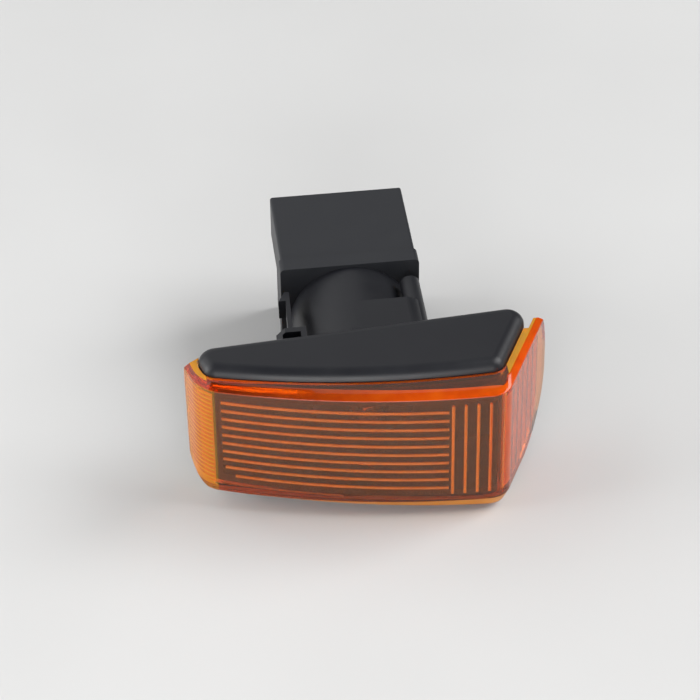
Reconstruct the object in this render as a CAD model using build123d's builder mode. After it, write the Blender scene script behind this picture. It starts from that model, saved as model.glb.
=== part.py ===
from build123d import *
import os
from math import asin, cos, degrees, hypot, radians, sin, sqrt, tan

# Side repeater lamp for a car's front wing. Millimetres, +Z up, +Y runs along the neck into the car,
# and the origin is on the neck's axis where it meets the mounting face.

# Mounting face of the housing: it is turned a little about Z, so the left end stands further forward.
seat_angle = 4.5

# Lens: the amber moulding, seen from above. The corners are where its flat ends meet the bowed front.
lens_left_gap = 2.7
lens_right_gap = 0.9
lens_left_rear_x = -37.7
lens_left_front = (-35.2, -13.2)
lens_right_front = (26.5, -22.9)
lens_right_rear_x = 38.5
lens_front_radius = 170.0
lens_left_corner_radius = 8.0
lens_right_corner_radius = 5.0
lens_wall = 1.8
lens_top_z = 15.2
lens_bottom_z = -14.75
lens_bottom_angle = 3.0
rim_height = 1.0
rim_left_front = (-35.0, -12.0)
rim_right_front = (26.8, -19.3)
rim_end_inset = 1.2
lower_rim_height = 1.75
lower_rim_angle = 1.0
lower_rim_inset = 1.2

# Lens seen from the front: the lower left corner is well rounded. The right ear stands free at the rear,
# and the left lips run back to a toe behind the housing's corner. Seen from the side, the right end has
# a long curve for its rear edge, and its lower edge rises to meet that.
lens_left_lean = 0.3
lens_lower_left_radius = 5.8
lens_lower_right_radius = 3.5
lens_upper_radius = 1.5
outline_clearance = 0.04
ear_length = 5.3
ear_lower_radius = 14.0
ear_upper_radius = 25.0
ear_lower_front_z = -16.4
ear_lower_rise = 13.0
ear_upper_z = 8.9
ear_upper_lean = 20.0
toe_width = 3.2
toe_length = 1.4

# Optics on the inside of the lens.
row_count = 10
row_pitch = 2.2
row_centre_z = 0.2
row_tilt = 1.6
row_fan = 0.13
row_width = 0.9
row_height = 0.55
row_left_x = -30.8
row_right_x = 14.8
row_trim_start = 2.8
row_trim = 0.8
column_count = 4
column_pitch = 2.57
column_first_x = 15.6
column_width = 0.9
column_bottom_z = -12.3
column_height = 23.6
serration_count = 22
serration_pitch = 1.12
serration_width = 0.55
serration_height = 0.35
serration_right_x = -32.4
serration_rear_gap = 0.6
flute_count = 6
flute_pitch = 3.2
flute_first_y = -3.6
flute_radius = 2.0
flute_height = 0.55
flute_half_height = 12.2
optic_bite = 0.25
optic_tip = 0.24

# Housing: the black block behind the lens, seen from above, and its hollow.
block_half_height = 17.3
block_left_gap = 0.7
block_right_gap = 1.2
block_front_left_y = -10.4
block_front_right_y = -16.4
block_nose_radius = 3.2
block_rear_left_radius = 3.6
block_rear_right_radius = 3.5
block_edge_radius = 2.5
block_lower_left_x = -34.6
block_lower_left_radius = 13.0
lip_clearance = 0.25
housing_wall = 2.0
tongue_wall = 1.8
tongue_clearance = 0.2
tongue_front_gap = 0.3
window_left_x = -30.8
window_right_x = 24.8
window_depth = 7.0
ledge_x = -0.3
ledge_width = 4.6
ledge_depth = 1.1
ledge_drop = 0.7

# Neck, with the lug and locating pin on its right and the snap finger on its left.
neck_radius = 13.0
neck_bore_radius = 11.2
neck_length = 24.6
lug_right_x = 14.0
lug_height = 9.0
lug_length = 13.0
lug_radius = 3.5
pin_radius = 2.1
pin_x = 12.4
pin_z = 9.9
pin_length = 9.0
pin_end = 0.6
pin_end_taper = 40.0
hood_left_x = -17.7
hood_right_x = -11.5
hood_length = 5.6
hood_top_z = 13.2
hood_height = 7.5
hood_slope = 1.8
hood_slot_width = 3.8
hood_slot_length = 2.0
hood_slot_start = 2.2
finger_root_x = -14.1
finger_thickness = 1.0
finger_bottom_z = 6.0
finger_height = 4.6
finger_end_y = 21.0
finger_lean = 0.6
barb_length = 3.0
barb_height = 1.5

# Bulb holder: spigot in the neck, collar against the neck's end, connector box behind.
spigot_clearance = 0.3
spigot_length = 15.6
collar_length = 4.0
collar_lip = 0.4
collar_radius = 1.0
box_half_width = 14.5
box_top_z = 13.3
box_length = 22.8
box_wall = 2.0
box_step = 1.0
box_band_height = 10.0
socket_depth = 18.0
box_edge_radius = 0.6

# Seal ring of square section in a groove of the spigot.
seal_section = 1.7
seal_edge = 0.3
seal_clearance = 0.05
seal_side_clearance = 0.1
seal_setback = 2.8

# Wedge base bulb.
bulb_radius = 5.0
bulb_body_length = 17.5
bulb_shoulder_length = 2.5
bulb_pinch_length = 4.0
bulb_base_length = 9.3
bulb_base_width = 9.3
bulb_base_thickness = 2.6
bulb_base_edge = 0.5
bulb_glass_wall = 0.7
bulb_tip_wall = 1.4
bulb_tip_radius = 2.2
bulb_cheek_depth = 0.8
bulb_cheek_length = 2.0
bulb_fit = 0.15
bulb_shoulder_gap = 0.5
filament_y = -1.0
filament_radius = 0.22
filament_clearance = 0.03
lead_radius = 0.2
lead_spacing = 4.0
lead_clearance = 0.03
lead_tail_length = 6.0

# Contacts moulded into the holder.
contact_thickness = 0.8
contact_width = 4.0
contact_gap = 0.1
contact_grip_length = 7.0
contact_jog_depth = 2.0
contact_pin_x = 5.0
contact_pin_length = 12.0
contact_tip = 0.25

os.makedirs("parts", exist_ok=True)
seat_slope = tan(radians(seat_angle))

# Far enough to reach through the whole lamp from any plane through its middle.
deep = 60.0
underside = Plane.XY.offset(-deep)


def station(y):
    """Plane across the neck's axis, with X to the right and Z up in its sketch."""
    return Plane.XZ.offset(-y)


def seat_y(x):
    """Depth of the mounting face at a place along the lamp."""
    return seat_slope * x


def to_seat(front, rear, shift):
    """Where a plan line through two points meets the mounting face moved by shift."""
    run_x = rear[0] - front[0]
    run_y = rear[1] - front[1]
    part = (seat_y(front[0]) + shift - front[1]) / (run_y - seat_slope * run_x)
    return (front[0] + part * run_x, front[1] + part * run_y)


def inset(front, rear, amount):
    """A plan line through two points, moved to the right of the way it runs."""
    length = hypot(rear[0] - front[0], rear[1] - front[1])
    side_x = amount * (rear[1] - front[1]) / length
    side_y = -amount * (rear[0] - front[0]) / length
    return (front[0] + side_x, front[1] + side_y), (rear[0] + side_x, rear[1] + side_y)


def at_depth(front, rear, y):
    """The point of a plan line that lies at a depth."""
    part = (y - front[1]) / (rear[1] - front[1])
    return (front[0] + part * (rear[0] - front[0]), y)


left_rear = (lens_left_rear_x, seat_y(lens_left_rear_x) - lens_left_gap)
right_rear = (lens_right_rear_x, seat_y(lens_right_rear_x) - lens_right_gap)
rim_left_rear = (left_rear[0] + rim_end_inset, left_rear[1])
rim_right_rear = (right_rear[0] - rim_end_inset, right_rear[1])
lens_bottom_slope = tan(radians(lens_bottom_angle))
lens_top = Plane.XY.offset(lens_top_z)
lens_bottom = Plane(
    (0, 0, lens_bottom_z), x_dir=(1, 0, -lens_bottom_slope), z_dir=(lens_bottom_slope, 0, 1)
)
lower_rim_slope = tan(radians(lower_rim_angle))
lower_rim = Plane(
    (0, 0, lens_bottom_z + lower_rim_height), x_dir=(1, 0, -lower_rim_slope), z_dir=(lower_rim_slope, 0, 1)
)


def lens_plan(left_front, right_front, left_end, right_end, left_shift, right_shift):
    """Outline of the lens from above, with a bowed front and a toe on the left, off the mounting face."""
    left_back = to_seat(left_front, left_end, left_shift)
    right_back = to_seat(right_front, right_end, right_shift)
    toe = (lens_left_rear_x + toe_width, left_back[1] + toe_length)
    with BuildSketch() as plan:
        with BuildLine():
            Line(right_front, right_back)
            Line(right_back, toe)
            Line(toe, left_back)
            Line(left_back, left_front)
            RadiusArc(left_front, right_front, -lens_front_radius)
        make_face()
        fillet(plan.vertices().sort_by_distance(right_front)[0], lens_right_corner_radius)
        fillet(plan.vertices().sort_by_distance(left_front)[0], lens_left_corner_radius)
    return plan.sketch


def lens_outline(margin):
    """Outline of the lens from the front, drawn in all round by a margin."""
    lower_left_x = lens_left_rear_x + lens_left_lean
    with BuildSketch() as outline:
        with BuildLine():
            FilletPolyline(
                (lens_left_rear_x, lens_top_z),
                (lens_right_rear_x, lens_top_z),
                (lens_right_rear_x, lens_bottom_z - lens_bottom_slope * lens_right_rear_x),
                (lower_left_x, lens_bottom_z - lens_bottom_slope * lower_left_x),
                radius=[lens_upper_radius, lens_upper_radius, lens_lower_right_radius, lens_lower_left_radius],
                close=True,
            )
        make_face()
        offset(amount=-margin, kind=Kind.INTERSECTION, mode=Mode.REPLACE)
    return outline.sketch


def block_outline(margin):
    """Outline of the housing block from the front, drawn in by a margin, with its cut lower left."""
    half = block_half_height - margin
    left = block_lower_left_x + margin
    centre_x = block_lower_left_x + block_lower_left_radius
    centre_z = block_lower_left_radius - block_half_height
    with BuildSketch() as outline:
        with BuildLine():
            Line((left, centre_z), (-deep, centre_z))
            Line((-deep, centre_z), (-deep, half))
            Line((-deep, half), (deep, half))
            Line((deep, half), (deep, -half))
            Line((deep, -half), (centre_x, -half))
            RadiusArc((centre_x, -half), (left, centre_z), block_lower_left_radius - margin)
        make_face()
    return outline.sketch


lens_corners = (lens_left_front, lens_right_front, left_rear, right_rear)
rim_corners = (rim_left_front, rim_right_front, rim_left_rear, rim_right_rear)
face_plan = lens_plan(*lens_corners, -lens_left_gap, -lens_right_gap)
rim_plan = lens_plan(*rim_corners, -lens_left_gap, -lens_right_gap)
open_plan = lens_plan(*lens_corners, deep, deep)
ear_plan = lens_plan(*lens_corners, -lens_left_gap, -lens_right_gap - ear_length)
with BuildSketch() as lower_rim_plan:
    add(face_plan)
    offset(amount=-lower_rim_inset, kind=Kind.INTERSECTION, mode=Mode.REPLACE)
with BuildSketch() as inner_plan:
    add(open_plan)
    offset(amount=-lens_wall, kind=Kind.INTERSECTION, mode=Mode.REPLACE)

# Plan of the housing block: its ends run beside the lens's ears, its front bows with the lens.
block_left = inset(lens_left_front, left_rear, lens_wall + block_left_gap)
block_right = inset(lens_right_front, right_rear, -lens_wall - block_right_gap)
block_front_left = at_depth(*block_left, block_front_left_y)
block_front_right = at_depth(*block_right, block_front_right_y)
block_rear_left = to_seat(*block_left, 0.0)
block_rear_right = to_seat(*block_right, 0.0)
with BuildSketch() as block_plan:
    with BuildLine():
        Line(block_front_right, block_rear_right)
        Line(block_rear_right, block_rear_left)
        Line(block_rear_left, block_front_left)
        RadiusArc(block_front_left, block_front_right, -lens_front_radius)
    make_face()
    fillet(block_plan.vertices().sort_by(Axis.Y)[:2], block_nose_radius)
    fillet(block_plan.vertices().sort_by_distance(block_rear_left)[0], block_rear_left_radius)
    fillet(block_plan.vertices().sort_by_distance(block_rear_right)[0], block_rear_right_radius)


def ear_trim(margin):
    """What lies behind and below the right end's side outline, which is drawn in by a margin."""
    rear_y = right_rear[1]
    corner_z = ear_lower_front_z + tan(radians(ear_lower_rise)) * (rear_y - lens_right_front[1])
    front_z = ear_lower_front_z - tan(radians(ear_lower_rise)) * (deep + lens_right_front[1])
    top_y = rear_y - tan(radians(ear_upper_lean)) * (deep - ear_upper_z)
    inner_edge = inset(lens_right_front, right_rear, -lens_wall - block_right_gap - margin)
    with BuildPart() as trim:
        with BuildSketch(underside):
            Polygon(
                at_depth(*inner_edge, -deep),
                (2 * deep, -deep),
                (2 * deep, deep),
                at_depth(*inner_edge, deep),
                align=None,
            )
        extrude(amount=2 * deep)
        with BuildSketch(Plane.YZ):
            with BuildLine():
                FilletPolyline(
                    (-deep, front_z),
                    (rear_y, corner_z),
                    (rear_y, ear_upper_z),
                    (top_y, deep),
                    radius=[ear_lower_radius, ear_upper_radius],
                )
                Polyline((top_y, deep), (-deep, deep), (-deep, front_z))
            make_face()
            offset(amount=-margin, kind=Kind.INTERSECTION, mode=Mode.REPLACE)
        extrude(amount=2 * deep, mode=Mode.SUBTRACT)
    return trim.part


# Axis that the bowed front is turned about.
chord_x = lens_right_front[0] - lens_left_front[0]
chord_y = lens_right_front[1] - lens_left_front[1]
chord = hypot(chord_x, chord_y)
bow_reach = sqrt(lens_front_radius**2 - chord**2 / 4)
bow_x = (lens_left_front[0] + lens_right_front[0]) / 2 - bow_reach * chord_y / chord
bow_y = (lens_left_front[1] + lens_right_front[1]) / 2 + bow_reach * chord_x / chord
bow_inner_radius = lens_front_radius - lens_wall


def bow_angle(x):
    """Angle about the bow's axis of a place on the front wall's inside."""
    return asin((x - bow_x) / bow_inner_radius)


def bow_point(angle, radius, across=0.0):
    """Plan point at a radius and angle of the bow, and some way across."""
    x = bow_x + radius * sin(angle) + across * cos(angle)
    y = bow_y - radius * cos(angle) + across * sin(angle)
    return (x, y)


# Lens: the prisms on its inside first, then the shell that carries them.
with BuildSketch() as serration_clear:
    add(inner_plan.sketch)
    offset(amount=-serration_height, kind=Kind.INTERSECTION, mode=Mode.REPLACE)
with BuildSketch() as serration_plan:
    add(inner_plan.sketch)
    offset(amount=optic_bite, kind=Kind.INTERSECTION, mode=Mode.REPLACE)
    add(serration_clear.sketch, mode=Mode.SUBTRACT)
    with Locations((serration_right_x - deep, 0)):
        Rectangle(2 * deep, 2 * deep, mode=Mode.INTERSECT)
    add(lens_plan(*lens_corners, -lens_left_gap - serration_rear_gap, -lens_right_gap), mode=Mode.INTERSECT)
with BuildSketch() as flute_bed:
    add(inner_plan.sketch)
    offset(amount=optic_bite, kind=Kind.INTERSECTION, mode=Mode.REPLACE)

with BuildPart() as optics:
    # Prisms across most of the front: each is turned about the bow's axis, leaning down to the right.
    # The lowest rows start further in, round the lens's lower left corner.
    row_middle_x = (row_left_x + row_right_x) / 2
    for number in range(row_count):
        step = number - (row_count - 1) / 2
        lean = radians(row_tilt + row_fan * step)
        row_start = bow_angle(row_left_x + row_trim * max(0, step - row_trim_start) ** 2)
        row_sweep = bow_angle(row_right_x) - row_start
        z = row_centre_z - row_pitch * step - tan(lean) * (bow_x - row_middle_x)
        row_axis = Vector(sin(lean), 0, cos(lean))
        outward = Vector(sin(row_start) * cos(lean), -cos(row_start), -sin(row_start) * sin(lean))
        row_centre = (bow_x, bow_y, z)
        with BuildSketch(Plane(row_centre, x_dir=outward, z_dir=outward.cross(row_axis))):
            Polygon(
                (bow_inner_radius + optic_bite, -row_width / 2),
                (bow_inner_radius + optic_bite, row_width / 2),
                (bow_inner_radius - row_height, optic_tip / 2),
                (bow_inner_radius - row_height, -optic_tip / 2),
                align=None,
            )
        revolve(axis=Axis(row_centre, row_axis), revolution_arc=degrees(row_sweep))

    # Upright prisms to the right of them.
    with BuildSketch(Plane.XY.offset(column_bottom_z)):
        for number in range(column_count):
            angle = bow_angle(column_first_x + number * column_pitch)
            Polygon(
                bow_point(angle, bow_inner_radius + optic_bite, -column_width / 2),
                bow_point(angle, bow_inner_radius + optic_bite, column_width / 2),
                bow_point(angle, bow_inner_radius - row_height, optic_tip / 2),
                bow_point(angle, bow_inner_radius - row_height, -optic_tip / 2),
                align=None,
            )
    extrude(amount=column_height)

    # Broad upright flutes down the right end.
    flute_line = inset(lens_right_front, right_rear, -lens_wall - flute_height + flute_radius)
    with BuildSketch(Plane.XY.offset(-flute_half_height)):
        for number in range(flute_count):
            with Locations(at_depth(*flute_line, flute_first_y - number * flute_pitch)):
                Circle(flute_radius)
        add(flute_bed.sketch, mode=Mode.INTERSECT)
    extrude(amount=2 * flute_half_height)

    # Fine level serrations round the left end.
    for number in range(serration_count):
        z = row_centre_z + serration_pitch * ((serration_count - 1) / 2 - number)
        with BuildSketch(Plane.XY.offset(z - serration_width / 2)):
            add(serration_plan.sketch)
        extrude(amount=serration_width)
    with BuildSketch(station(-deep)):
        add(lens_outline(lens_wall - optic_bite))
    extrude(amount=-2 * deep, mode=Mode.INTERSECT)
    add(ear_trim(lens_wall - optic_bite), mode=Mode.SUBTRACT)

with BuildPart() as lens_hollow:
    with BuildSketch(underside):
        add(inner_plan.sketch)
    extrude(amount=2 * deep)
    with BuildSketch(station(-deep)):
        add(lens_outline(lens_wall))
    extrude(amount=-2 * deep, mode=Mode.INTERSECT)
    add(ear_trim(lens_wall), mode=Mode.SUBTRACT)

with BuildPart() as lens:
    # Outer form: upright walls, with a bevelled rim above and below.
    levels = (
        (lens_bottom, lower_rim_plan.sketch),
        (lower_rim, face_plan),
        (lens_top.offset(-rim_height), face_plan),
        (lens_top, rim_plan),
    )
    for lower, upper in zip(levels, levels[1:]):
        with BuildSketch(lower[0]):
            add(lower[1])
        with BuildSketch(upper[0]):
            add(upper[1])
        loft(ruled=True)
    with BuildSketch(station(-deep)):
        add(lens_outline(-outline_clearance))
    extrude(amount=-2 * deep, mode=Mode.INTERSECT)
    add(ear_trim(0), mode=Mode.SUBTRACT)
    add(lens_hollow.part, mode=Mode.SUBTRACT)

    # The lips above and below stop at the housing block, and the right ear stands free at the rear.
    with BuildSketch(underside):
        add(block_plan.sketch)
        offset(amount=lip_clearance, mode=Mode.REPLACE)
    extrude(amount=2 * deep, mode=Mode.SUBTRACT)
    with BuildSketch(underside):
        add(inner_plan.sketch)
        add(ear_plan, mode=Mode.SUBTRACT)
        with Locations((deep / 2, 0)):
            Rectangle(deep, 2 * deep, mode=Mode.INTERSECT)
    extrude(amount=2 * deep, mode=Mode.SUBTRACT)
    add(optics.part)
lens.part.label = "lens"
export_step(lens.part, "parts/lens.step")

# Housing: block, tongue into the lens, neck with its lug, pin, hood and snap finger, all one moulding.
with BuildPart() as block_cavity:
    with BuildSketch(underside):
        add(block_plan.sketch)
        offset(amount=-housing_wall, kind=Kind.INTERSECTION, mode=Mode.REPLACE)
    extrude(amount=2 * deep)
    with BuildSketch(station(-deep)):
        add(block_outline(housing_wall))
    extrude(amount=-2 * deep, mode=Mode.INTERSECT)

with BuildPart() as tongue:
    with BuildSketch(underside):
        add(face_plan)
        offset(amount=-lens_wall - row_height - tongue_front_gap, kind=Kind.INTERSECTION, mode=Mode.REPLACE)
    extrude(amount=2 * deep)
    with BuildSketch(station(-deep)):
        add(lens_outline(lens_wall + tongue_clearance))
    extrude(amount=-2 * deep, mode=Mode.INTERSECT)
    add(ear_trim(lens_wall + tongue_clearance), mode=Mode.SUBTRACT)

with BuildPart() as housing:
    with BuildSketch(Plane.XY.offset(-block_half_height)):
        add(block_plan.sketch)
    extrude(amount=2 * block_half_height)
    fillet(housing.faces().filter_by(Axis.Z).edges(), block_edge_radius)
    with BuildSketch(station(-deep)):
        add(block_outline(0))
    extrude(amount=-2 * deep, mode=Mode.INTERSECT)
    add(tongue.part)

    # Small ledge on the rear upper edge of the block.
    with BuildSketch(station(seat_y(ledge_x) - ledge_depth)):
        with Locations((ledge_x, block_half_height - ledge_drop)):
            Rectangle(ledge_width, block_edge_radius, align=(Align.CENTER, Align.MAX))
    extrude(amount=-ledge_depth)

    # Neck and, on its upper right, the lug that carries the locating pin.
    with BuildSketch(station(-housing_wall)):
        Circle(neck_radius)
    extrude(amount=-neck_length - housing_wall)
    with BuildSketch(station(-housing_wall)) as lug_section:
        with Locations((0, neck_radius)):
            Rectangle(lug_right_x, lug_height, align=(Align.MIN, Align.MAX))
        fillet(lug_section.vertices().sort_by_distance((lug_right_x, neck_radius))[0], lug_radius)
    extrude(amount=-lug_length - housing_wall)
    with BuildSketch(station(0)):
        with Locations((pin_x, pin_z)):
            Circle(pin_radius)
    extrude(amount=pin_end - lug_length - pin_length)
    with BuildSketch(station(lug_length + pin_length - pin_end)):
        with Locations((pin_x, pin_z)):
            Circle(pin_radius)
    extrude(amount=-pin_end, taper=pin_end_taper)

    # Hood with its slot on the left of the neck, and the snap finger that runs back from it.
    hood_bottom_z = hood_top_z - hood_height
    with BuildSketch(station(seat_y(hood_left_x) - housing_wall / 2)):
        Polygon(
            (hood_left_x, hood_bottom_z),
            (hood_right_x, hood_bottom_z),
            (hood_right_x, hood_top_z),
            (hood_left_x + hood_slope, hood_top_z),
            (hood_left_x, hood_top_z - hood_slope),
            align=None,
        )
    extrude(amount=seat_y(hood_left_x) - housing_wall / 2 - hood_length)
    with BuildSketch(Plane.XY.offset(hood_bottom_z)):
        with Locations(((hood_left_x + hood_right_x) / 2, hood_slot_start)):
            Rectangle(hood_slot_width, hood_slot_length, align=(Align.CENTER, Align.MIN))
    extrude(amount=hood_height, mode=Mode.SUBTRACT)
    finger_outer_x = finger_root_x - finger_thickness
    finger_tip_x = finger_outer_x + finger_lean
    finger_start_y = hood_slot_start + hood_slot_length
    with BuildSketch(Plane.XY.offset(finger_bottom_z)):
        Polygon(
            (finger_outer_x, finger_start_y),
            (finger_root_x, finger_start_y),
            (finger_root_x + finger_lean, finger_end_y),
            (finger_tip_x, finger_end_y),
            (finger_tip_x - barb_height, finger_end_y - barb_length),
            (finger_tip_x, finger_end_y - barb_length),
            align=None,
        )
    extrude(amount=finger_height)

    # Hollow of the block, its window through the tongue and the bore of the neck.
    add(block_cavity.part, mode=Mode.SUBTRACT)
    with BuildSketch(station(-deep)):
        add(lens_outline(lens_wall + tongue_clearance + tongue_wall))
        with Locations((window_left_x, 0)):
            Rectangle(
                window_right_x - window_left_x,
                2 * block_half_height,
                align=(Align.MIN, Align.CENTER),
                mode=Mode.INTERSECT,
            )
    extrude(amount=window_depth - deep, mode=Mode.SUBTRACT)
    with BuildSketch(station(-window_depth)):
        Circle(neck_bore_radius)
    extrude(amount=-window_depth - neck_length, mode=Mode.SUBTRACT)
housing.part.label = "housing"
export_step(housing.part, "parts/housing.step")

# Bulb: a clear capsule pinched to a flat wedge base, with its leads sealed in.
spigot_radius = neck_bore_radius - spigot_clearance
spigot_front_y = neck_length - spigot_length
bulb_shoulder_y = spigot_front_y - bulb_shoulder_gap
bulb_dome_y = bulb_shoulder_y - bulb_body_length
bulb_end_y = bulb_shoulder_y + bulb_base_length
bulb_void_radius = bulb_radius - bulb_glass_wall
bulb_void_end_y = bulb_shoulder_y - bulb_pinch_length
lead_fold_x = bulb_base_thickness / 2 + lead_radius + lead_clearance
lead_fold_y = bulb_end_y + lead_radius + lead_clearance
lead_start_y = filament_y - filament_radius

with BuildPart() as bulb_leads:
    for side in (1, -1):
        with BuildLine(Plane.XY.offset(side * lead_spacing / 2)) as lead_path:
            Polyline(
                (0, lead_start_y),
                (0, lead_fold_y),
                (side * lead_fold_x, lead_fold_y),
                (side * lead_fold_x, lead_fold_y - lead_tail_length),
            )
        with BuildSketch(Plane(origin=lead_path.line @ 0, z_dir=lead_path.line % 0)):
            Circle(lead_radius)
        sweep(path=lead_path.line, transition=Transition.RIGHT)
bulb_leads.part.label = "bulb_leads"
export_step(bulb_leads.part, "parts/bulb_leads.step")

filament_half = lead_spacing / 2 - lead_radius - filament_clearance
with BuildPart() as bulb_filament:
    with BuildSketch(Plane.XY.offset(-filament_half)):
        with Locations((0, filament_y)):
            Circle(filament_radius)
    extrude(amount=2 * filament_half)
bulb_filament.part.label = "bulb_filament"
export_step(bulb_filament.part, "parts/bulb_filament.step")

with BuildPart() as bulb_void:
    with BuildSketch():
        with BuildLine():
            Polyline(
                (0, bulb_dome_y + bulb_tip_wall),
                (bulb_tip_radius, bulb_dome_y + bulb_tip_wall),
                (bulb_void_radius, bulb_dome_y + bulb_radius),
                (bulb_void_radius, bulb_void_end_y),
                (0, bulb_void_end_y),
                close=True,
            )
        make_face()
    revolve(axis=Axis.Y)

with BuildPart() as bulb_glass:
    with BuildSketch(Plane.XY.offset(-bulb_base_width / 2)):
        with Locations((0, bulb_void_end_y + bulb_glass_wall)):
            Rectangle(
                bulb_base_thickness,
                bulb_end_y - bulb_void_end_y - bulb_glass_wall,
                align=(Align.CENTER, Align.MIN),
            )
    extrude(amount=bulb_base_width)
    fillet(bulb_glass.edges().filter_by(Axis.Y), bulb_base_edge)
    with BuildSketch():
        with BuildLine():
            Polyline(
                (0, bulb_dome_y),
                (bulb_tip_radius, bulb_dome_y),
                (bulb_radius - bulb_cheek_depth, bulb_dome_y + bulb_cheek_length),
                (bulb_radius, bulb_dome_y + bulb_radius),
                (bulb_radius, bulb_shoulder_y - bulb_shoulder_length),
                (bulb_radius - bulb_shoulder_length, bulb_shoulder_y),
                (0, bulb_shoulder_y),
                close=True,
            )
        make_face()
    revolve(axis=Axis.Y)
    add(bulb_void.part, mode=Mode.SUBTRACT)
    add(bulb_leads.part, mode=Mode.SUBTRACT)
bulb_glass.part.label = "bulb_glass"
export_step(bulb_glass.part, "parts/bulb_glass.step")

# Contacts: brass strips that grip the bulb's leads, step outwards and end as pins in the connector.
collar_rear_y = neck_length + collar_length
box_rear_y = collar_rear_y + box_length
socket_floor_y = box_rear_y - socket_depth
pocket_floor_y = lead_fold_y + lead_radius + bulb_fit
contact_inner_x = lead_fold_x + lead_radius + contact_gap
contact_outer_x = contact_inner_x + contact_thickness
contact_front_y = pocket_floor_y - contact_grip_length
contact_jog_y = pocket_floor_y + contact_jog_depth
contact_pin_end_y = socket_floor_y + contact_pin_length
contact_pin_half = contact_thickness / 2


def contact(side):
    """One contact strip, on the right for side 1 and on the left for side -1."""
    pin_inner_x = contact_pin_x - contact_pin_half
    pin_outer_x = contact_pin_x + contact_pin_half
    jog_rear_y = contact_jog_y + contact_thickness
    with BuildPart() as strip:
        with BuildSketch(Plane.XY.offset(-contact_width / 2)):
            Polygon(
                (side * contact_inner_x, contact_front_y),
                (side * contact_outer_x, contact_front_y),
                (side * contact_outer_x, contact_jog_y),
                (side * pin_outer_x, contact_jog_y),
                (side * pin_outer_x, contact_pin_end_y),
                (side * pin_inner_x, contact_pin_end_y),
                (side * pin_inner_x, jog_rear_y),
                (side * contact_inner_x, jog_rear_y),
                align=None,
            )
        extrude(amount=contact_width)
        chamfer(strip.faces().sort_by(Axis.Y)[-1].edges(), contact_tip)
    return strip.part


contact_right = contact(1)
contact_right.label = "contact_right"
export_step(contact_right, "parts/contact_right.step")
contact_left = contact(-1)
contact_left.label = "contact_left"
export_step(contact_left, "parts/contact_left.step")

# Bulb holder: one moulding with the contacts set in it.
seal_y = neck_length - seal_setback
seal_outer_radius = neck_bore_radius - seal_clearance
seal_groove_radius = seal_outer_radius - seal_section - seal_clearance
seal_groove_width = seal_section + 2 * seal_side_clearance
box_inner_half_width = box_half_width - box_step - box_wall

with BuildPart() as bulb_holder:
    with BuildSketch(station(spigot_front_y)):
        Circle(spigot_radius)
    extrude(amount=-spigot_length)
    with BuildSketch(station(neck_length)) as collar_section:
        with Locations((0, box_top_z + collar_lip)):
            Rectangle(
                2 * (box_half_width + collar_lip),
                box_top_z + collar_lip + block_half_height,
                align=(Align.CENTER, Align.MAX),
            )
        fillet(collar_section.vertices(), collar_radius)
    extrude(amount=-collar_length)
    with BuildSketch(station(collar_rear_y)) as box_section:
        with Locations((0, box_top_z)):
            Rectangle(2 * box_half_width, box_band_height, align=(Align.CENTER, Align.MAX))
            Rectangle(
                2 * (box_half_width - box_step),
                box_top_z + block_half_height,
                align=(Align.CENTER, Align.MAX),
            )
        fillet(box_section.vertices().group_by(Axis.Y)[0], box_edge_radius)
        fillet(box_section.vertices().group_by(Axis.Y)[-1], box_edge_radius)
    extrude(amount=-box_length)

    # Connector socket at the rear, pocket for the bulb at the front, groove for the seal.
    with BuildSketch(station(socket_floor_y)):
        with Locations((0, box_top_z - box_wall)):
            Rectangle(
                2 * box_inner_half_width,
                box_top_z + block_half_height - 2 * box_wall,
                align=(Align.CENTER, Align.MAX),
            )
    extrude(amount=-socket_depth, mode=Mode.SUBTRACT)
    with BuildSketch(station(spigot_front_y)):
        Rectangle(2 * contact_outer_x, bulb_base_width + 2 * bulb_fit)
    extrude(amount=spigot_front_y - pocket_floor_y, mode=Mode.SUBTRACT)
    with BuildSketch():
        with Locations((seal_groove_radius, seal_y)):
            Rectangle(neck_radius - seal_groove_radius, seal_groove_width, align=(Align.MIN, Align.CENTER))
    revolve(axis=Axis.Y, mode=Mode.SUBTRACT)
    add(contact_left, mode=Mode.SUBTRACT)
    add(contact_right, mode=Mode.SUBTRACT)
bulb_holder.part.label = "bulb_holder"
export_step(bulb_holder.part, "parts/bulb_holder.step")

with BuildPart() as holder_seal:
    with BuildSketch() as seal_profile:
        with Locations((seal_outer_radius, seal_y)):
            Rectangle(seal_section, seal_section, align=(Align.MAX, Align.CENTER))
        chamfer(seal_profile.vertices(), seal_edge)
    revolve(axis=Axis.Y)
holder_seal.part.label = "holder_seal"
export_step(holder_seal.part, "parts/holder_seal.step")
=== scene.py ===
from math import radians

import bmesh
import bpy
from mathutils import Matrix, Vector


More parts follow.
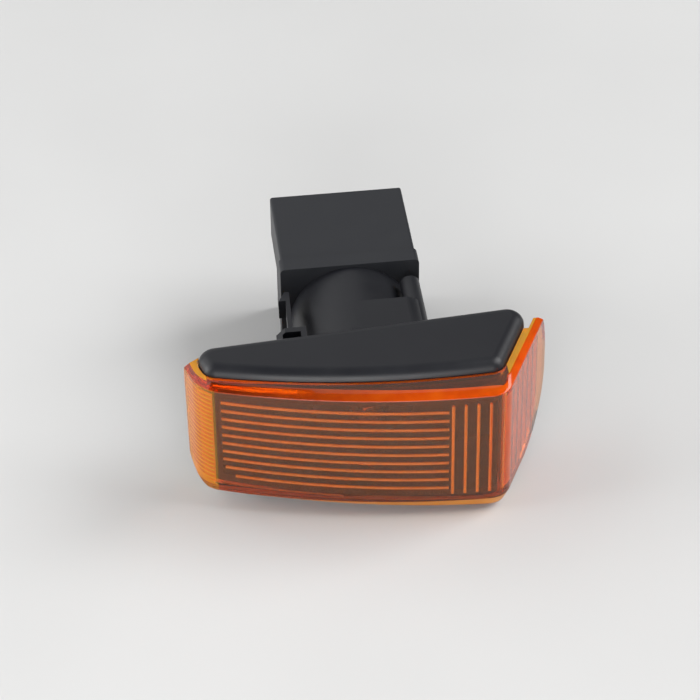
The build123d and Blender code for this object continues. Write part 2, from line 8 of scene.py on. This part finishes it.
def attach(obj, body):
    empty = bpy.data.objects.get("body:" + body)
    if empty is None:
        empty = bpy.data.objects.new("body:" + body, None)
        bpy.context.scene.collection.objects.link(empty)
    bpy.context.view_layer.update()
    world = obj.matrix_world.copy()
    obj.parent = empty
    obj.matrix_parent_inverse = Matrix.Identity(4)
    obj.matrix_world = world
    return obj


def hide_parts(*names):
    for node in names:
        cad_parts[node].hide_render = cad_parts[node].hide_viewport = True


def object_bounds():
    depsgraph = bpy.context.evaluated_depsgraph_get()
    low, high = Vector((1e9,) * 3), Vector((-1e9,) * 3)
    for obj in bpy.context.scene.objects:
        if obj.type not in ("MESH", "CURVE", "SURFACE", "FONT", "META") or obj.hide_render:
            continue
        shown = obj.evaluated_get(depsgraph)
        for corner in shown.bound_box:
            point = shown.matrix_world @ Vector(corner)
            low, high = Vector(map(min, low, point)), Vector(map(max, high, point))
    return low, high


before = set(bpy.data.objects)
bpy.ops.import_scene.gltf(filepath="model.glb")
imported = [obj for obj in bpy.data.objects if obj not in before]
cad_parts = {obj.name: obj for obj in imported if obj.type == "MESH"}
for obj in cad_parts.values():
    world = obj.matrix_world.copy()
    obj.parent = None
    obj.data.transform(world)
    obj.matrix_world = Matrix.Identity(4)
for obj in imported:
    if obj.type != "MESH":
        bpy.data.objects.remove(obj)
cad_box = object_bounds()

# Housing: the black block behind the lens, with its neck, lug, pin, hood and snap finger as one moulding.
# It is injection moulded in black ABS, with a fine satin grain from the tool.
noise_low = 0.3
noise_high = 0.7


def shader_material(name):
    """A node material with its Principled shader, and the tree to add textures to."""
    material = bpy.data.materials.new(name)
    material.use_nodes = True
    tree = material.node_tree
    return material, tree, tree.nodes["Principled BSDF"]


def object_noise(tree, features_per_metre, detail):
    """A noise pattern on Object coordinates, with its feature size set in metres."""
    place = tree.nodes.new("ShaderNodeTexCoord")
    noise = tree.nodes.new("ShaderNodeTexNoise")
    noise.inputs["Scale"].default_value = features_per_metre
    noise.inputs["Detail"].default_value = detail
    tree.links.new(place.outputs["Object"], noise.inputs["Vector"])
    return noise.outputs["Fac"]


def spread(tree, pattern, low, high):
    """Turns the middle of a noise pattern into a range of values."""
    ranged = tree.nodes.new("ShaderNodeMapRange")
    ranged.inputs["From Min"].default_value = noise_low
    ranged.inputs["From Max"].default_value = noise_high
    ranged.inputs["To Min"].default_value = low
    ranged.inputs["To Max"].default_value = high
    tree.links.new(pattern, ranged.inputs["Value"])
    return ranged.outputs["Result"]


def tinted(tree, pattern, dark, light):
    """Turns a noise pattern into a colour between two tones."""
    ramp = tree.nodes.new("ShaderNodeValToRGB")
    ramp.color_ramp.elements[0].position = noise_low
    ramp.color_ramp.elements[0].color = (*dark, 1.0)
    ramp.color_ramp.elements[1].position = noise_high
    ramp.color_ramp.elements[1].color = (*light, 1.0)
    tree.links.new(pattern, ramp.inputs["Fac"])
    return ramp.outputs["Color"]


def bumped(tree, shader, pattern, strength, depth):
    """Raises a noise pattern on the surface by a depth in metres."""
    bump = tree.nodes.new("ShaderNodeBump")
    bump.inputs["Strength"].default_value = strength
    bump.inputs["Distance"].default_value = depth
    tree.links.new(pattern, bump.inputs["Height"])
    tree.links.new(bump.outputs["Normal"], shader.inputs["Normal"])


def moulded_black(name, dark, light, smooth, rough):
    """Black moulded plastic with a fine grain and faint flow marks."""
    material, tree, shader = shader_material(name)
    flow = object_noise(tree, features_per_metre=160.0, detail=4.0)
    grain = object_noise(tree, features_per_metre=5200.0, detail=2.0)
    tree.links.new(tinted(tree, flow, dark, light), shader.inputs["Base Color"])
    tree.links.new(spread(tree, flow, smooth, rough), shader.inputs["Roughness"])
    bumped(tree, shader, grain, strength=0.25, depth=0.00003)
    return material


def finish_node(node, material):
    """Gives a CAD node its finished material."""
    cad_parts[node].data.materials[0] = material


satin_black = moulded_black(
    "satin_black", dark=(0.0070, 0.0076, 0.0114), light=(0.0100, 0.0108, 0.0146), smooth=0.42, rough=0.48
)
finish_node("housing", satin_black)

# Bulb holder: spigot, collar and connector box, one moulding of a slightly greyer black.
# It is glass filled nylon, pushed into the neck until its collar meets the neck's end.
holder_black = moulded_black(
    "holder_black", dark=(0.0155, 0.0170, 0.0215), light=(0.0195, 0.0210, 0.0255), smooth=0.46, rough=0.54
)
finish_node("bulb_holder", holder_black)

# Seal: a moulded rubber ring, stretched over the spigot into its groove.
# The neck's bore squeezes it, so that no water reaches the bulb.
seal_rubber = moulded_black(
    "seal_rubber", dark=(0.010, 0.010, 0.010), light=(0.016, 0.016, 0.016), smooth=0.65, rough=0.8
)
finish_node("holder_seal", seal_rubber)


# Contacts: two brass strips, stamped from sheet, bent and moulded into the holder.
# They are bare at both ends, one for the bulb's leads and one for the plug.
def drawn_metal(name, dark, light, smooth, rough):
    """Plain metal with faint drawing marks."""
    material, tree, shader = shader_material(name)
    marks = object_noise(tree, features_per_metre=1400.0, detail=3.0)
    shader.inputs["Metallic"].default_value = 1.0
    tree.links.new(tinted(tree, marks, dark, light), shader.inputs["Base Color"])
    tree.links.new(spread(tree, marks, smooth, rough), shader.inputs["Roughness"])
    return material


contact_brass = drawn_metal(
    "contact_brass", dark=(0.62, 0.42, 0.16), light=(0.74, 0.54, 0.24), smooth=0.22, rough=0.36
)
finish_node("contact_right", contact_brass)
finish_node("contact_left", contact_brass)

# Bulb: a clear glass capsule, pinched to a wedge base that is pushed into the holder.
# Two lead wires, with a tungsten coil between them, are sealed in the glass.
bulb_clear, bulb_tree, bulb_shader = shader_material("bulb_clear")
bulb_shader.inputs["Base Color"].default_value = (0.97, 0.98, 0.98, 1.0)
bulb_shader.inputs["Transmission Weight"].default_value = 1.0
bulb_shader.inputs["IOR"].default_value = 1.5
ripples = object_noise(bulb_tree, features_per_metre=300.0, detail=2.0)
bulb_tree.links.new(spread(bulb_tree, ripples, low=0.0, high=0.03), bulb_shader.inputs["Roughness"])
finish_node("bulb_glass", bulb_clear)
lead_wire = drawn_metal(
    "lead_wire", dark=(0.50, 0.48, 0.45), light=(0.62, 0.60, 0.57), smooth=0.25, rough=0.40
)
finish_node("bulb_leads", lead_wire)
tungsten = drawn_metal(
    "tungsten", dark=(0.28, 0.27, 0.26), light=(0.36, 0.35, 0.34), smooth=0.30, rough=0.45
)
finish_node("bulb_filament", tungsten)

# Lens: one clear amber moulding, polished outside, with every prism, flute and serration on its inside.
# The dye is in the plastic, so thin walls look yellow and thick edges deep orange red. The prisms, the
# serrations and the bevelled rims come from matt parts of the tool, so they scatter light and glow. Along
# the top rim the tone is painted light and shade: darker at the left and lighter toward the right, for how
# the light falls on the bevel, with a painted dark line of shade under its front edge.
bow_centre = (0.0216, 0.1470, 0.0)
prism_radii = (0.1674, 0.16803)
prism_half_height = 0.0126
prism_reach = (-0.0310, 0.0240)
left_corner = (-0.02886, -0.00691, 0.0)
left_wall_way = (-0.315, 0.949, 0.0)
left_end_x = -0.0322
left_inner_radius = 0.00627
serrated_radius = 0.00612
right_corner = (0.02332, -0.01796, 0.0)
right_wall_way = (0.432, 0.902, 0.0)
flute_radii = (0.0024, 0.00305)
rim_z = 0.01415
rim_inner_radius = 0.1675
# Bottom of the band of painted shade under the rim's front edge.
rim_edge_shade_z = 0.0139
# Where the rim's painted light, lighter and less clear toward the right, reaches full strength.
rim_painted_light_x = 0.0080
flat_facing = 0.985
upright_facing = 0.2
lower_rim_z = -0.0130
lower_rim_slope = 0.0175
right_ear_x = 0.0275
left_ear_x = -0.0335
weld = 0.000002
flat_angle = radians(0.5)
level_slope = 0.1
least_turn = 0.1
rim_rounding = 0.00025
rim_segments = 3
crease_angle = radians(32)


def calculated(tree, operation, first, second=0.0):
    """One step of arithmetic on sockets or numbers."""
    step = tree.nodes.new("ShaderNodeMath")
    step.operation = operation
    for socket, value in zip(step.inputs, (first, second)):
        if isinstance(value, float):
            socket.default_value = value
        else:
            tree.links.new(value, socket)
    return step.outputs["Value"]


def vector_step(tree, operation, first, second=(0.0, 0.0, 0.0)):
    """One step of arithmetic on vector sockets or plain vectors."""
    step = tree.nodes.new("ShaderNodeVectorMath")
    step.operation = operation
    for socket, value in zip(step.inputs, (first, second)):
        if isinstance(value, tuple):
            socket.default_value = value
        else:
            tree.links.new(value, socket)
    return step


def all_of(tree, *masks):
    """Where every mask is 1."""
    joined = masks[0]
    for mask in masks[1:]:
        joined = calculated(tree, "MULTIPLY", joined, mask)
    return joined


def inside(tree, value, low, high):
    """1 where a value lies between two limits."""
    over = calculated(tree, "GREATER_THAN", value, low)
    return calculated(tree, "MULTIPLY", over, calculated(tree, "LESS_THAN", value, high))


def from_end_line(tree, place, corner, way):
    """Distance in plan from a corner's centre, or from the line that runs back from it beside an end wall."""
    reach = vector_step(tree, "SUBTRACT", place, corner).outputs["Vector"]
    along = calculated(tree, "MAXIMUM", vector_step(tree, "DOT_PRODUCT", reach, way).outputs["Value"], 0.0)
    foot = vector_step(tree, "SCALE", way)
    tree.links.new(along, foot.inputs["Scale"])
    away = vector_step(tree, "SUBTRACT", reach, foot.outputs["Vector"]).outputs["Vector"]
    return vector_step(tree, "LENGTH", away).outputs["Value"]


def mixed(tree, kind, factor, under, over):
    """A value or colour that gives way to another one as the factor goes from 0 to 1.

    A Mix node has its own sockets for each kind, and they are told apart by number.
    """
    mix = tree.nodes.new("ShaderNodeMix")
    mix.data_type = kind
    first, second, result = {"FLOAT": (2, 3, 0), "RGBA": (6, 7, 2)}[kind]
    tree.links.new(factor, mix.inputs[0])
    for place, value in ((first, under), (second, over)):
        if isinstance(value, bpy.types.NodeSocket):
            tree.links.new(value, mix.inputs[place])
        else:
            mix.inputs[place].default_value = value
    return mix.outputs[result]


amber, amber_tree, amber_shader = shader_material("amber_lens")
amber_shader.inputs["IOR"].default_value = 1.49
dye = amber_tree.nodes.new("ShaderNodeVolumeAbsorption")
dye.inputs["Color"].default_value = (0.98, 0.70, 0.03, 1.0)
dye.inputs["Density"].default_value = 450.0
amber_tree.links.new(dye.outputs["Volume"], amber_tree.nodes["Material Output"].inputs["Volume"])

lens_place = amber_tree.nodes.new("ShaderNodeTexCoord")
lens_axes = amber_tree.nodes.new("ShaderNodeSeparateXYZ")
amber_tree.links.new(lens_place.outputs["Object"], lens_axes.inputs["Vector"])
lens_normal = amber_tree.nodes.new("ShaderNodeSeparateXYZ")
amber_tree.links.new(lens_place.outputs["Normal"], lens_normal.inputs["Vector"])
lens_x = lens_axes.outputs["X"]
lens_z = lens_axes.outputs["Z"]
facing = calculated(amber_tree, "ABSOLUTE", lens_normal.outputs["Z"])
mid_height = calculated(
    amber_tree, "LESS_THAN", calculated(amber_tree, "ABSOLUTE", lens_z), prism_half_height
)
in_plan = vector_step(amber_tree, "MULTIPLY", lens_place.outputs["Object"], (1.0, 1.0, 0.0)).outputs["Vector"]
bow_distance = vector_step(amber_tree, "DISTANCE", in_plan, bow_centre).outputs["Value"]
prism = all_of(
    amber_tree,
    inside(amber_tree, bow_distance, *prism_radii),
    inside(amber_tree, lens_x, *prism_reach),
    mid_height,
)
left_distance = from_end_line(amber_tree, in_plan, left_corner, left_wall_way)
left_end = calculated(amber_tree, "LESS_THAN", lens_x, left_end_x)
left_inside = all_of(
    amber_tree,
    calculated(amber_tree, "LESS_THAN", left_distance, left_inner_radius),
    left_end,
    mid_height,
)
serrated = all_of(
    amber_tree, calculated(amber_tree, "LESS_THAN", left_distance, serrated_radius), left_inside
)
right_distance = from_end_line(amber_tree, in_plan, right_corner, right_wall_way)
fluted = all_of(
    amber_tree,
    inside(amber_tree, right_distance, *flute_radii),
    calculated(amber_tree, "GREATER_THAN", lens_x, right_corner[0]),
    mid_height,
)
top = calculated(amber_tree, "GREATER_THAN", lens_z, rim_z)
flat = calculated(amber_tree, "GREATER_THAN", facing, flat_facing)
front_rim = calculated(amber_tree, "GREATER_THAN", bow_distance, rim_inner_radius)
end_rims = all_of(
    amber_tree,
    calculated(amber_tree, "SUBTRACT", 1.0, flat),
    calculated(
        amber_tree, "MAXIMUM", left_end, calculated(amber_tree, "GREATER_THAN", lens_x, right_corner[0])
    ),
)
rim = all_of(amber_tree, top, calculated(amber_tree, "MAXIMUM", front_rim, end_rims))
# Painted shade: the rounded lower edge of the rim is rough like an unpolished parting line, and painted dark
# red as the shaded line under the bright rim.
rim_edge_painted_shade = all_of(
    amber_tree,
    inside(amber_tree, lens_z, rim_edge_shade_z, rim_z),
    calculated(amber_tree, "GREATER_THAN", facing, upright_facing),
)
# Painted light along the top rim: its tone goes from dark at the left to lighter and less clear toward the
# right, for how the light falls on the bevel.
toward_right = amber_tree.nodes.new("ShaderNodeMapRange")
toward_right.inputs["From Min"].default_value = left_end_x
toward_right.inputs["From Max"].default_value = rim_painted_light_x
amber_tree.links.new(lens_x, toward_right.inputs["Value"])
rim_painted_light = all_of(amber_tree, rim, toward_right.outputs["Result"])
lip_edge = all_of(amber_tree, top, calculated(amber_tree, "LESS_THAN", facing, upright_facing))
ears = calculated(
    amber_tree,
    "MAXIMUM",
    calculated(amber_tree, "GREATER_THAN", lens_x, right_ear_x),
    calculated(amber_tree, "LESS_THAN", lens_x, left_ear_x),
)
ear_top = all_of(amber_tree, top, flat, ears)
lower_rim_drop = calculated(amber_tree, "MULTIPLY", lens_x, lower_rim_slope)
lower_rim = all_of(
    amber_tree,
    calculated(amber_tree, "LESS_THAN", calculated(amber_tree, "ADD", lens_z, lower_rim_drop), lower_rim_z),
    calculated(amber_tree, "SUBTRACT", 1.0, flat),
)

# Each zone has two tones, its share of clear plastic and its roughness, and lies over those before it.
streaks = object_noise(amber_tree, features_per_metre=260.0, detail=3.0)
tint = tinted(amber_tree, streaks, dark=(1.0, 0.40, 0.12), light=(1.0, 0.46, 0.16))
clearness = 0.965
roughness = spread(amber_tree, streaks, low=0.012, high=0.03)
for mask, dark, light, clear, rough in (
    (prism, (1.0, 0.98, 0.74), (1.0, 1.0, 0.92), 0.05, 0.5),
    (left_end, (1.0, 0.48, 0.006), (1.0, 0.56, 0.012), 0.86, 0.03),
    (left_inside, (0.90, 0.40, 0.02), (1.0, 0.50, 0.04), 0.3, 0.4),
    (serrated, (1.0, 0.88, 0.10), (1.0, 0.96, 0.16), 0.05, 0.5),
    (fluted, (1.0, 0.60, 0.22), (1.0, 0.70, 0.30), 0.12, 0.35),
    (rim, (0.50, 0.05, 0.001), (0.62, 0.08, 0.002), 0.85, 0.08),
    # painted light: the rim lighter toward the right
    (rim_painted_light, (0.85, 0.09, 0.001), (1.0, 0.14, 0.002), 0.35, 0.08),
    # painted shade: the dark line under the rim
    (rim_edge_painted_shade, (0.55, 0.05, 0.001), (0.65, 0.07, 0.002), 0.4, 0.35),
    (lip_edge, (1.0, 0.42, 0.01), (1.0, 0.50, 0.02), 0.4, 0.2),
    (lower_rim, (0.56, 0.185, 0.006), (0.64, 0.225, 0.009), 0.1, 0.3),
    (ear_top, (1.0, 0.42, 0.005), (1.0, 0.50, 0.01), 0.4, 0.2),
):
    tint = mixed(amber_tree, "RGBA", mask, tint, tinted(amber_tree, streaks, dark, light))
    clearness = mixed(amber_tree, "FLOAT", mask, clearness, clear)
    roughness = mixed(amber_tree, "FLOAT", mask, roughness, rough)
amber_tree.links.new(tint, amber_shader.inputs["Base Color"])
amber_tree.links.new(clearness, amber_shader.inputs["Transmission Weight"])
amber_tree.links.new(roughness, amber_shader.inputs["Roughness"])

# The moulding's corners are smooth, and the edges of its rims are a little rounded.
lens_form = bmesh.new()
lens_form.from_mesh(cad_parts["lens"].data)
bmesh.ops.remove_doubles(lens_form, verts=lens_form.verts, dist=weld)
bmesh.ops.dissolve_limit(lens_form, angle_limit=flat_angle, verts=lens_form.verts, edges=lens_form.edges)


def on_rim(edge):
    """Whether an edge runs along the bevel of the upper or the lower rim."""
    if len(edge.link_faces) != 2:
        return False
    slopes = sorted(abs(face.normal.z) for face in edge.link_faces)
    high = all(vert.co.z > rim_z for vert in edge.verts)
    low = all(vert.co.z + lower_rim_slope * vert.co.x < lower_rim_z + weld for vert in edge.verts)
    level = abs(edge.verts[0].co.z - edge.verts[1].co.z) < edge.calc_length() * level_slope
    bevelled = any(upright_facing < slope < flat_facing for slope in slopes)
    off_left_ear = all(vert.co.x > left_end_x for vert in edge.verts)
    return off_left_ear and (high or low) and level and bevelled and slopes[1] - slopes[0] > least_turn


bmesh.ops.bevel(
    lens_form,
    geom=[edge for edge in lens_form.edges if on_rim(edge)],
    offset=rim_rounding,
    offset_type="OFFSET",
    affect="EDGES",
    segments=rim_segments,
    profile=0.5,
    material=-1,
)

# Edges sharper than a crease stay sharp. The CAD's own normals don't fit the rounded rims, so they go.
for face in lens_form.faces:
    face.smooth = True
for edge in lens_form.edges:
    edge.smooth = edge.calc_face_angle(0.0) < crease_angle
lens_shell = bpy.data.objects.new("lens_shell", bpy.data.meshes.new("lens_shell"))
lens_form.to_mesh(lens_shell.data)
lens_form.free()
old_normals = lens_shell.data.attributes.get("custom_normal")
if old_normals:
    lens_shell.data.attributes.remove(old_normals)
lens_shell.data.materials.append(amber)
lens_shell.modifiers.new("even_faces", "WEIGHTED_NORMAL").keep_sharp = True
bpy.context.scene.collection.objects.link(lens_shell)
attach(lens_shell, "root")
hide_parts("lens")

# Floor: a plain sheet of pale matt paper, wide enough to fill the picture.
# The lamp lies on it, so it is level with the lowest point of the CAD.
floor_size = 4.0
floor_mesh = bmesh.new()
bmesh.ops.create_grid(floor_mesh, x_segments=1, y_segments=1, size=floor_size / 2)
bmesh.ops.translate(floor_mesh, verts=floor_mesh.verts, vec=(0, 0, cad_box[0][2]))
floor = bpy.data.objects.new("floor", bpy.data.meshes.new("floor"))
floor_mesh.to_mesh(floor.data)
floor_mesh.free()
bpy.context.scene.collection.objects.link(floor)
pale, pale_tree, pale_shader = shader_material("pale_floor")
paper = object_noise(pale_tree, features_per_metre=12.0, detail=3.0)
paper_tint = tinted(pale_tree, paper, dark=(0.72, 0.72, 0.715), light=(0.75, 0.75, 0.745))
pale_tree.links.new(paper_tint, pale_shader.inputs["Base Color"])
pale_shader.inputs["Roughness"].default_value = 0.9
pale_shader.inputs["Specular IOR Level"].default_value = 0.2
floor.data.materials.append(pale)

# Studio light: a dim pale room and large soft boxes at the left, at the right and behind.
# Low cards in front and at the left, made as small soft boxes, send light into the lens.
world = bpy.data.worlds.new("studio")
world.use_nodes = True
room = world.node_tree.nodes["Background"]
room.inputs["Color"].default_value = (1.0, 1.0, 1.0, 1.0)
room.inputs["Strength"].default_value = 0.08
bpy.context.scene.world = world


def soft_box(name, place, size, power):
    """A square soft box at a place, turned to face the lamp at the origin."""
    data = bpy.data.lights.new(name, "AREA")
    data.size = size
    data.energy = power
    lamp = bpy.data.objects.new(name, data)
    lamp.location = place
    lamp.rotation_euler = (-Vector(place)).to_track_quat("-Z", "Y").to_euler()
    bpy.context.scene.collection.objects.link(lamp)


soft_box("left_box", place=(-0.75, 0.20, 0.50), size=0.9, power=3.8)
soft_box("right_box", place=(0.76, 0.02, 0.64), size=0.7, power=8.6)
soft_box("back_box", place=(-0.25, 0.85, 0.62), size=1.1, power=2.2)
soft_box("front_card", place=(-0.08, -0.55, 0.10), size=0.35, power=2.7)
soft_box("left_card", place=(-0.60, 0.03, 0.10), size=0.35, power=2.0)

# Camera: a long lens above and in front of the lamp, turned a little to the right.
# Its place and turn are fitted to the edges of the connector box, neck and housing.
view_from = (-0.0555, -0.4793, 0.4029)
view_yaw = radians(6.26)
view_pitch = radians(39.14)
view_roll = radians(0.83)
camera = bpy.data.objects.new("camera", bpy.data.cameras.new("camera"))
camera.data.sensor_width = 36.0
camera.data.lens = 154.3
camera.data.clip_start = 0.01
camera.matrix_world = (
    Matrix.Translation(view_from)
    @ Matrix.Rotation(-view_yaw, 4, "Z")
    @ Matrix.Rotation(radians(90) - view_pitch, 4, "X")
    @ Matrix.Rotation(-view_roll, 4, "Z")
)
bpy.context.scene.collection.objects.link(camera)
bpy.context.scene.camera = camera
bpy.context.scene.view_settings.view_transform = "Standard"
